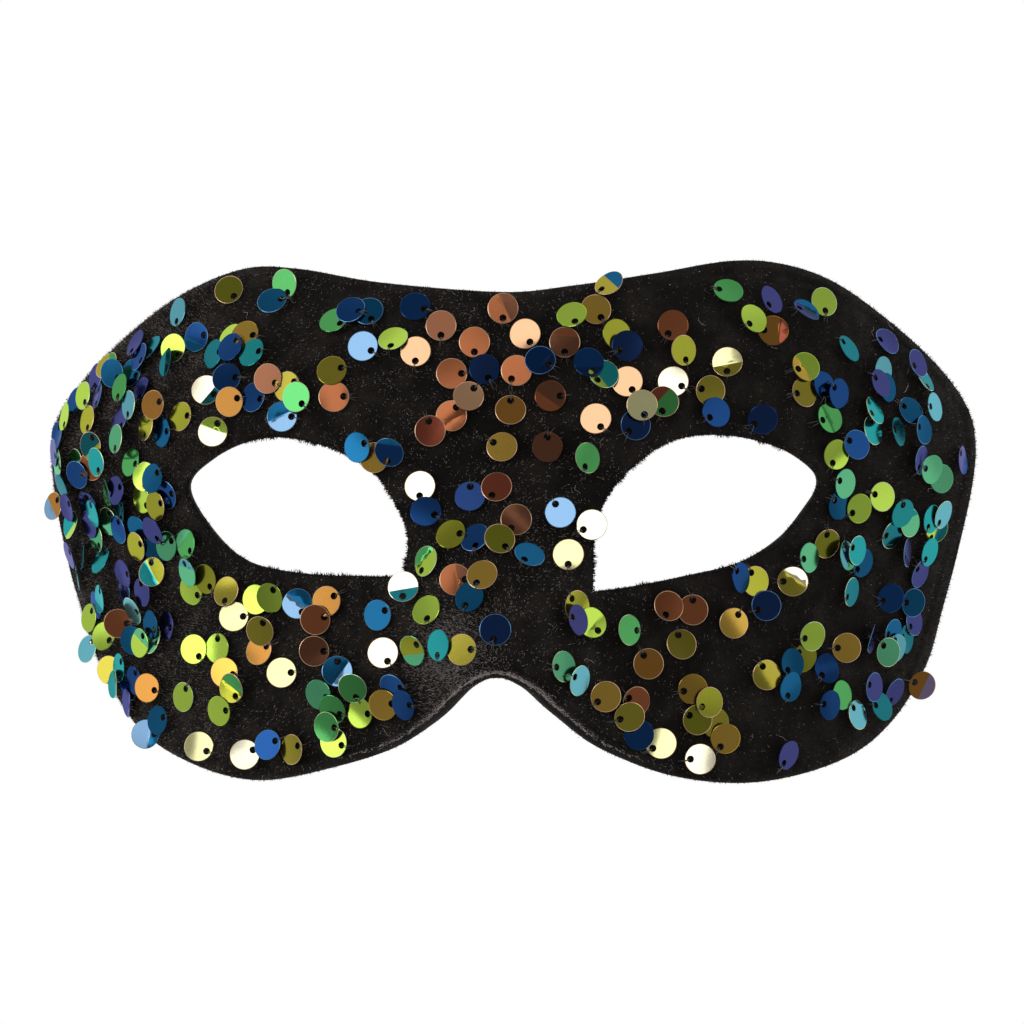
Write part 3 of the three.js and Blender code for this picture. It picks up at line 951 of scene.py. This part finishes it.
def wanted_here(x, y):
    """Keeps the sequins sparse beside the cut edges and down the steep sides."""
    spot = np.array([[x, y]])
    edge_gap = float(distance_to(spot, edge)[0])
    eye_gap = min(float(distance_to(spot, eye)[0]) for eye in eyes)
    if edge_gap < EDGE_CLEAR or eye_gap < EYE_CLEAR:
        return False
    chance = 1.0 - THINNED * float(smoothstep((abs(x) - THIN_FROM) / THIN_RUN))
    if eye_gap < BY_EYE:
        chance *= BY_EYE_CHANCE
    if edge_gap < (BY_EDGE if x > 0.0 or y > BY_EDGE_TOP else BY_LEFT_EDGE):
        chance *= BY_EDGE_CHANCE if abs(x) > BY_EDGE_SIDE and y < BY_EDGE_TOP else 0.0
    return places.random() < chance


def cloth_normal(x, y):
    return normals_at(np.array([x]), np.array([y]))[0]


def facing(x, cloth):
    """The way that a sequin faces, and the way its hole points: mostly uphill, where its thread holds it."""
    steep = float(np.linalg.norm(cloth[:2]))
    spread = STEEP_SPREAD if steep > STEEP else LEVEL_SPREAD
    towards = heading(math.atan2(-cloth[1], -cloth[0]) + places.normal(0.0, spread))
    outwards = SIDE_LEAN * float(smoothstep((abs(x) - LEAN_FROM) / LEAN_RUN)) * places.uniform(*LEAN_RANGE)
    downhill = np.array([cloth[0], cloth[1], 0.0]) / max(steep, LEVEL)
    normal = cloth + downhill * outwards + towards * places.normal(HOLE_LEAN, HOLE_LEAN_SPREAD)
    return unit(normal + places.normal(0.0, LOOSE, 3)), towards


def scatter(laid):
    """Sewn-on sequins at random, in clusters, none through another, until each zone has its number."""
    found = []
    low, high = edge.min(0), edge.max(0)
    lowest, highest = np.array(CAD_BOX) / MM + MIDDLE
    filled = {zone: 0 for zone in ZONES}
    blues = {zone: 0 for zone in ZONES}
    for _ in range(TRIES):
        if all(filled[zone] >= row[0] for zone, row in ZONES.items()):
            break
        x, y, room = spot_for(laid, low, high)
        zone = zone_of(x, y)
        count, blue_share, shift, jitter = ZONES[zone]
        if filled[zone] >= count or bare(x, y) or not between(np.array([[x, y]]), edge, eyes)[0]:
            continue
        if not wanted_here(x, y):
            continue
        cloth = cloth_normal(x, y)
        base = np.array([x, y, float(front(x, y))])
        gaps = np.linalg.norm(np.array([s.centre for s in laid]) - base, axis=1)
        if (gaps < np.where([s.landmark for s in laid], NODE_ROOM, room)).any():
            continue
        normal, towards = facing(x, cloth)
        shine = glint(normal, base)
        if shine > GLARE_EDGE and places.random() < GLARE_SKIPPED:
            continue
        sequin = Sequin(base, normal, towards)
        need = lift_needed(sequin, cloth, laid)
        if need > HIGHEST:
            continue
        sequin.centre = base + cloth * need
        rim = sequin.rim()
        if (rim.min(0) < lowest - ROOM_LOW).any() or (rim.max(0) > highest + ROOM_HIGH).any():
            continue
        steered = (1.0 + STEER) * blue_share - STEER * blues[zone] / max(filled[zone], 1)
        film = int(rng.random() < steered)
        finish = film_finish(film, lean_of(sequin.normal, sequin.centre) + shift * (1 - film), jitter)
        # Painted glint: a disc that throws the key light to the camera gets a pale finish, and one that
        # nearly does a lighter one
        if shine > PAINTED_GLINT_FROM:
            finish = PAINTED_GLINT_FINISH.get(finish, "pale")
        elif shine > PAINTED_NEAR_GLINT_FROM:
            finish = PAINTED_NEAR_GLINT_FINISH.get(finish, finish)
        sequin.paint(finish, film, rng.random() < DEEP_SHARE)
        if rng.random() < CREASED:
            sequin.fold(rng.uniform(*CREASE_ANGLES))
        for other in laid:
            if np.linalg.norm(other.centre - sequin.centre) < APART:
                other.neighbours += 1
                sequin.neighbours += 1
        filled[zone] += 1
        blues[zone] += film
        found.append(sequin)
        laid.append(sequin)
    return found


def overhang(x, y, lean_x, lean_y, hole_angle, finish, beyond):
    """A sequin at the edge, raised along the cloth's normal until it clears the cloth and its neighbours."""
    cloth = cloth_normal(x, y)
    towards = heading(math.radians(hole_angle))
    sequin = Sequin(np.array([x, y, float(front(x, y))]), np.array([lean_x, lean_y, 1.0]), towards)
    for _ in range(RAISES):
        sequin.centre = sequin.centre + cloth * lift_needed(sequin, cloth, laid)
    sequin.paint(finish, int(finish in BLUES), False)
    if beyond:
        sequin.fold(OVERHANG_FOLD, beyond, OVERHANG_CHORD)
    laid.append(sequin)
    return sequin


def sequin_piece(name, sequins, replaced=()):
    """One mesh of sequins, with the foil of each part as its own material slot."""
    parts, materials, triangle_look, quad_look = [], [], [], []
    for sequin in sequins:
        *arrays, triangle_part, quad_part = sequin.mesh()
        parts.append(arrays)
        for material in sequin.materials:
            if material not in materials:
                materials.append(material)
        index = np.array([materials.index(material) for material in sequin.materials])
        triangle_look.append(index[triangle_part])
        quad_look.append(index[quad_part])
    points, triangles, quads = join_arrays(parts)
    smooth = np.concatenate([np.ones(len(triangles), bool), np.zeros(len(quads), bool)])
    piece = new_mesh(name, points, triangles, quads, smooth)
    for material in materials:
        piece.data.materials.append(material)
    look = np.concatenate(triangle_look + quad_look).astype(np.int32)
    piece.data.polygons.foreach_set("material_index", look)
    sharpen(piece, quads)
    finish_piece(piece, None, replaced)


nodes = sorted(n for n in frame["nodes"] if n.startswith("sequin_"))
landmarks = [landmark(n) for n in nodes]
laid = list(landmarks)
scattered = scatter(laid)
scattered += [overhang(*row) for row in OVERHANGING]
for node, sequin in zip(nodes, landmarks):
    sequin_piece(f"{node}_disc", [sequin], [node])
for slot in sorted({row[0] for row in FINISH.values()}):
    group = [s for s in scattered if FINISH[s.finish][0] == slot]
    if group:
        sequin_piece(f"sewn_{slot}", group)


# Thread: a few strands from each hole over the near edge into the pile
def tube(path, radius, sides=4):
    """A thin closed tube along a path."""
    along = unit(np.gradient(path, axis=0))
    helper = np.where(np.abs(along[:, 2:3]) < 0.9, [[0.0, 0.0, 1.0]], [[1.0, 0.0, 0.0]])
    side = unit(np.cross(along, helper))
    up = np.cross(along, side)
    a = np.linspace(0.0, 2 * math.pi, sides, endpoint=False)[:, None]
    points, _, quads = band(path[:, None] + radius * (np.cos(a) * side[:, None] + np.sin(a) * up[:, None]))
    k, after = around(sides)
    first = len(points)
    caps = np.vstack([
        np.stack([np.full(sides, first), after, k], -1),
        np.stack([np.full(sides, first + 1), first - sides + k, first - sides + after], -1),
    ])
    return np.vstack([points, path[:1], path[-1:]]), caps, quads


def curve_through(points):
    """Smooth path through a few points."""
    line = curve(points, False, THREAD_STEPS)
    return line[np.linspace(0, len(line) - 1, THREAD_POINTS).round().astype(int)]


def strands(sequin):
    made = []
    hole = np.array([0.0, HOLE_OFFSET, 0.0])
    for _ in range(int(rng.integers(2, 4))):
        spread = rng.normal(0.0, STRAND_SPREAD)
        out = np.array([math.sin(spread), math.cos(spread), 0.0])
        path = [sequin.place(hole + out * reach + [0.0, 0.0, high]) for reach, high in STRAND_PATH]
        beyond = sequin.place(hole + out * (RADIUS - HOLE_OFFSET + rng.uniform(*STRAND_REACH)))
        path.append(on_form(beyond[None, :2], STRAND_DEPTH)[0])
        made.append(tube(curve_through(path), rng.uniform(*STRAND_RADII)))
    return made


def tubes_piece(name, parts, material):
    finish_piece(new_mesh(name, *join_arrays(parts)), material)


tubes_piece("nylon_threads", [t for s in laid for t in strands(s)], thread_look)


# Pile: short tapering fibres over the front, the rim and the cut edges
def sample_surface(piece, count, wanted):
    """Random points and normals on the faces of a piece that wanted() picks."""
    mesh = piece.data
    mesh.calc_loop_triangles()
    tri = np.zeros(len(mesh.loop_triangles) * 3, np.int32)
    mesh.loop_triangles.foreach_get("vertices", tri)
    co = form_points(mesh)
    a, b, c = (co[tri[k::3]] for k in range(3))
    face = np.cross(b - a, c - a)
    area = np.linalg.norm(face, axis=1)
    normal = face / (area[:, None] + 1e-12)
    share = area * wanted((a + b + c) / 3, normal)
    pick = rng.choice(len(a), size=count, p=share / share.sum())
    u, v = rng.random(count), rng.random(count)
    over = u + v > 1
    u[over], v[over] = 1 - u[over], 1 - v[over]
    return a[pick] + (b - a)[pick] * u[:, None] + (c - a)[pick] * v[:, None], normal[pick]


def fibre_mesh(root, direction, length, width):
    """Closed three-sided spikes, each of four triangles."""
    count = len(root)
    side = unit(np.cross(direction, rng.normal(0.0, 1.0, (count, 3))))
    up = np.cross(direction, side)
    points = np.zeros((count, 4, 3))
    for k in range(3):
        a = 2 * math.pi * k / 3
        points[:, k] = root + (side * math.cos(a) + up * math.sin(a)) * width[:, None]
    points[:, 3] = root + direction * length[:, None]
    start = (np.arange(count) * 4)[:, None]
    faces = np.stack([start + np.array([row]) for row in ((0, 2, 1), (0, 1, 3), (1, 2, 3), (2, 0, 3))], 1)
    return points.reshape(-1, 3), faces.reshape(-1, 3)


def on_bead(spots):
    """Which spots are on the bead along the notch."""
    near = (np.abs(spots[:, 0]) < NOTCH_WIDE) & (spots[:, 1] < NOTCH_TOP)
    near[near] = distance_to(spots[near, :2], edge[along_notch > NOTCH_CORE]) < BEAD_REACH
    return near


def front_and_rim(middle, normal):
    """The front and the rim, with less pile on the bead along the notch, where it's worn flat."""
    depth = front(middle[:, 0], middle[:, 1]) - middle[:, 2]
    shown = (depth < RIM_DEPTH) & (normal[:, 2] > RIM_UNDER)
    return shown * np.where(on_bead(middle), BEAD_PILE, 1.0)


def nap(root):
    """The way the pile is brushed, in patches."""
    x, y = root[:, 0], root[:, 1]
    along = np.sin(y * 0.11 + 1.3) + 0.6 * np.sin(x * 0.17)
    across = np.cos(x * 0.09) - 0.4
    return np.stack([along, across, np.zeros(len(root))], -1) * NAP


def pressed(root, direction, length):
    """Fibre lengths, cut short where a fibre would come up through a sequin."""
    length = length.copy()
    for sequin in laid:
        near = np.flatnonzero(np.abs(root - sequin.centre).max(1) < RADIUS + PRESS_REACH)
        foot = (root[near] - sequin.centre) @ sequin.turn
        tip = (root[near] + direction[near] * length[near, None] - sequin.centre) @ sequin.turn
        under = np.minimum(np.hypot(tip[:, 0], tip[:, 1]), np.hypot(foot[:, 0], foot[:, 1])) < RADIUS
        through = under & (foot[:, 2] < 0.0) & (tip[:, 2] > -CLEAR_UNDER)
        room = (-CLEAR_UNDER - foot[through, 2]) / (tip[through, 2] - foot[through, 2])
        length[near[through]] *= np.clip(room, LEAST_PRESSED, 1.0)
    return length


def spikes(name, root, direction, length, width, material):
    direction = unit(direction)
    points, faces = fibre_mesh(root, direction, pressed(root, direction, length), width)
    finish_piece(new_mesh(name, points, faces, smooth=False), material)


def pile_piece(name, count, material, length, lean, width, wanted=front_and_rim, brushed=1.0):
    root, normal = sample_surface(velvet_piece, count, wanted)
    direction = normal + nap(root) * brushed + rng.normal(0.0, lean, (count, 3))
    upright = np.sum(normal * normals_at(root[:, 0], root[:, 1]), axis=1)
    size = length * rng.uniform(*PILE_LENGTHS, count) * np.where(upright < RIM_TURN, RIM_PILE, 1.0)
    thick = width * rng.uniform(*PILE_WIDTHS, count)
    spikes(name, root - normal * ROOT_DEPTH, direction, size, thick, material)


def patches(x, y):
    """Patches a few millimetres across, from -1 to 1."""
    return np.sin(0.55 * x + 2.0 * np.sin(0.4 * y)) * np.cos(0.5 * y + 1.5 * np.sin(0.3 * x))


def leftwards(x, start, run):
    """Rises from 0 to 1 to the left of a start, over a run."""
    return smoothstep((start - x) / run)


def grey_pile_and_painted_sheen(middle, normal):
    """Where the pile shows grey: grey fibre tips everywhere and in patches, and painted sheen of the light
    on the left half, down the left side and on the left slope of the nose, which shows it most; the right
    side least.
    """
    x, y = middle[:, 0], middle[:, 1]
    centre = np.exp(-((x / CENTRE_WIDE) ** 2))
    nose = np.exp(-((x - PAINTED_SHEEN_NOSE_X) / PAINTED_SHEEN_NOSE_WIDE) ** 2 - ((y - PAINTED_SHEEN_NOSE_Y) / PAINTED_SHEEN_NOSE_WIDE) ** 2)
    share = GREY_LEAST + GREY_LEFT_PAINTED_SHEEN * leftwards(x, *PAINTED_SHEEN_LEFT_HALF) + GREY_CENTRE * centre
    share += GREY_SIDE_PAINTED_SHEEN * leftwards(x, *PAINTED_SHEEN_GREY_DOWN)
    return front_and_rim(middle, normal) * (share * (1.0 + GREY_PATCHES * patches(x, y)) + GREY_NOSE_PAINTED_SHEEN * nose)


def brown_pile_and_painted_sheen(middle, normal):
    """Where the pile is browner: in patches, and most of all down the left side, where the brown is painted
    sheen of the light from that side.
    """
    x, y = middle[:, 0], middle[:, 1]
    share = BROWN_LEAST + BROWN_LEFT_PAINTED_SHEEN * leftwards(x, *PAINTED_SHEEN_LEFT_HALF) + BROWN_SIDE_PAINTED_SHEEN * leftwards(x, *PAINTED_SHEEN_BROWN_DOWN)
    return front_and_rim(middle, normal) * (1.0 + BROWN_PATCHES * patches(x, y)) * share


def ridge_fibres(count):
    """Pale fibres that lie along the bead round the notch, a painted highlight on the bead's crown."""
    shown = np.exp(-(((edge[:, 0] - NOTCH_X) / BEAD_FIBRE_REACH) ** 2)) * (edge[:, 1] < 0.0)
    pick = rng.choice(len(edge), size=count, p=shown / shown.sum())
    along = (np.roll(edge, -1, axis=0) - edge)[pick]
    inset = rng.normal(BEAD_FIBRE_INSET, BEAD_FIBRE_SPREAD, count)
    plan = edge[pick] + along * rng.random((count, 1)) + edge_in[pick] * inset[:, None]
    root = on_form(plan, BEAD_FIBRE_DEPTH)
    tangent = np.column_stack([along, np.zeros(count)])
    direction = tangent * rng.choice([-1.0, 1.0], (count, 1)) + rng.normal(0.0, BEAD_FIBRE_LOOSE, (count, 3))
    direction[:, 2] = np.abs(direction[:, 2]) * BEAD_FIBRE_FLAT
    length = rng.uniform(*BEAD_FIBRE_LENGTHS, count)
    width = rng.uniform(*BEAD_FIBRE_WIDTHS, count)
    spikes("ridge_fibres", root, direction, length, width, pile_grey)


def cut_edge(name, loop, outwards, inset, count, length, material, share=None):
    """Fibres that stand out sideways from a cut or turned edge, with a few longer tufts."""
    pick = rng.choice(len(loop), size=count, p=share)
    step = np.roll(loop, -1, axis=0) - loop
    step[np.linalg.norm(step, axis=1) > 2 * EDGE_STEP] = 0.0
    along = step[pick] * rng.random((count, 1))
    depth = rng.uniform(*CUT_DEPTHS, count)
    plan = loop[pick] + along - outwards[pick] * rng.uniform(inset, inset + CUT_SPREAD, count)[:, None]
    out = np.column_stack([outwards[pick], np.zeros(count)])
    up = normals_at(plan[:, 0], plan[:, 1]) * rng.uniform(0.0, CUT_UP, count)[:, None]
    direction = out * CUT_OUT + up + rng.normal(0.0, CUT_LOOSE, (count, 3))
    tufts = rng.integers(len(loop), size=TUFTS)
    gap = np.abs(pick[:, None] - tufts[None]).min(1)
    size = rng.uniform(*CUT_LENGTHS, count) * length * np.where(gap < TUFT_WIDE, TUFT_LONG, 1.0)
    spikes(name, on_form(plan, depth), direction, size, rng.uniform(*CUT_WIDTHS, count), material)


for half in "ab":
    pile_piece(f"velvet_pile_{half}", FIBRES, pile_black, 0.62, 0.32, 0.055)
# Brown and grey pile: partly the fibres' own colour, partly painted sheen down the left side and on the
# nose's left slope
pile_piece("velvet_pile_c", FIBRES, pile_brown, 0.6, 0.55, 0.042, brown_pile_and_painted_sheen, brushed=3.0)
pile_piece("velvet_pile_grey", FIBRES * 9 // 10, pile_grey, 0.56, 0.75, 0.038, grey_pile_and_painted_sheen, brushed=4.0)
for i, side in enumerate(("left", "right")):
    cut_edge(f"{side}_eye_fibres", eye_ring(i, 0.0), eyes_in[i], 0.12, 2600, 0.62, pile_black)
off_notch = 1.0 - OFF_NOTCH * along_notch
cut_edge("outer_edge_fibres", edge, -edge_in, 0.2, 6000, 0.25, pile_black, off_notch / off_notch.sum())
# A brown fringe down the left edge: painted sheen of the light from the left
on_left = edge[:, 0] < FRINGE_FROM
cut_edge("left_edge_fringe", edge[on_left], -edge_in[on_left], 0.2, 1600, 0.32, pile_brown)
ridge_fibres(BEAD_FIBRES)

# Lint: stray hairs and specks that the pile has caught
shown_edge = edge_ring(SHOWN_INSET)


def stray_hair():
    x, y = (rng.uniform(-reach, reach) for reach in HAIR_AREA)
    way = rng.uniform(0.0, 2 * math.pi)
    path = []
    for _ in range(HAIR_STEPS):
        spot = np.array([[x, y]])
        if not between(spot, shown_edge, eyes)[0]:
            return None
        path.append(on_form(spot, rng.uniform(*HAIR_DEPTHS))[0])
        way += rng.normal(0.0, HAIR_TURN)
        x += HAIR_STEP * math.cos(way)
        y += HAIR_STEP * math.sin(way)
    return tube(curve_through(path), rng.uniform(*HAIR_RADII), 3)


def lint_speck():
    root, normal = sample_surface(velvet_piece, 1, front_and_rim)
    way = rng.normal(0.0, 1.0, 3)
    end = root[0] + normal[0] * SPECK_HIGH
    path = np.array([end, end + unit(way) * rng.uniform(*SPECK_LENGTHS)])
    return tube(np.vstack([path[:1], path.mean(0, keepdims=True), path[1:]]), rng.uniform(*SPECK_RADII), 5)


hairs = [made for made in (stray_hair() for _ in range(HAIRS)) if made]
tubes_piece("stray_hairs", hairs, pile_grey)
tubes_piece("lint_specks", [lint_speck() for _ in range(SPECKS)], lint_look)


# Floor, light and camera
FLOOR_REACH = 3.0
FLOOR_Z = -0.0002
CAMERA_DISTANCE = 560.0
CAMERA_TURN = math.radians(2.28)
CAMERA_LENS = 101.3
LOOKS_AT = (0.4, 0.0, 0.0)


def floor():
    mesh = bpy.data.meshes.new("floor")
    corners = [(x * FLOOR_REACH, y * FLOOR_REACH, 0) for x, y in ((-1, -1), (1, -1), (1, 1), (-1, 1))]
    mesh.from_pydata(corners, [], [(0, 1, 2, 3)])
    made = add("floor", mesh)
    made.location.z = FLOOR_Z
    glow = {"Emission_Color": (1.0, 1.0, 1.0, 1.0), "Emission_Strength": 1.0}
    white = plain("white_floor", (0.0, 0.0, 0.0), Roughness=1.0, Specular_IOR_Level=0.0, **glow)
    mesh.materials.append(white)


def softbox(name, direction, distance, size, watts):
    data = bpy.data.lights.new(name, "AREA")
    data.shape = "DISK"
    data.size = size
    data.energy = watts
    made = add(name, data)
    way = unit(np.array(direction, float))
    made.location = tuple(way * distance)
    made.rotation_mode = "QUATERNION"
    made.rotation_quaternion = Vector(tuple(way)).to_track_quat("Z", "Y")


def world(overhead, horizon):
    """A studio that is dim overhead, round the camera, and white towards the horizon."""
    made = bpy.data.worlds.new("studio")
    made.use_nodes = True
    tree = made.node_tree
    split = tree.nodes.new("ShaderNodeSeparateXYZ")
    tree.links.new(tree.nodes.new("ShaderNodeTexCoord").outputs["Generated"], split.inputs[0])
    value = split.outputs["Z"]
    steps = [("SUBTRACT", 1.0, True), ("POWER", 4.0, False), ("MULTIPLY", horizon - overhead, False)]
    for operation, amount, swapped in [*steps, ("ADD", overhead, False)]:
        step = tree.nodes.new("ShaderNodeMath")
        step.operation = operation
        step.use_clamp = operation == "SUBTRACT"
        step.inputs[0 if swapped else 1].default_value = amount
        tree.links.new(value, step.inputs[1 if swapped else 0])
        value = step.outputs[0]
    back = tree.nodes["Background"]
    back.inputs["Color"].default_value = (1.0, 1.0, 1.0, 1.0)
    tree.links.new(value, back.inputs["Strength"])
    bpy.context.scene.world = made


def camera():
    data = bpy.data.cameras.new("camera")
    data.lens = CAMERA_LENS
    data.sensor_width = 36.0
    data.clip_start = 0.01
    data.clip_end = 10.0
    back = np.array([math.sin(CAMERA_TURN), 0.0, math.cos(CAMERA_TURN)])
    right = np.array([math.cos(CAMERA_TURN), 0.0, -math.sin(CAMERA_TURN)])
    spot = (LOOKS_AT - MIDDLE + back * CAMERA_DISTANCE) * MM
    made = add("camera", data)
    made.matrix_world = Matrix((
        (right[0], 0.0, back[0], spot[0]), (right[1], 1.0, back[1], spot[1]),
        (right[2], 0.0, back[2], spot[2]), (0.0, 0.0, 0.0, 1.0),
    ))
    bpy.context.scene.camera = made


floor()
world(0.25, 1.0)
softbox("key", KEY_WAY, KEY_DISTANCE, 0.46, 0.8)
softbox("side_left", (-1.0, 0.1, 0.7), 0.9, 0.5, 1.5)
softbox("side_right", (1.0, 0.2, 0.7), 0.9, 0.5, 0.6)
camera()
bpy.context.scene.view_settings.view_transform = "Standard"
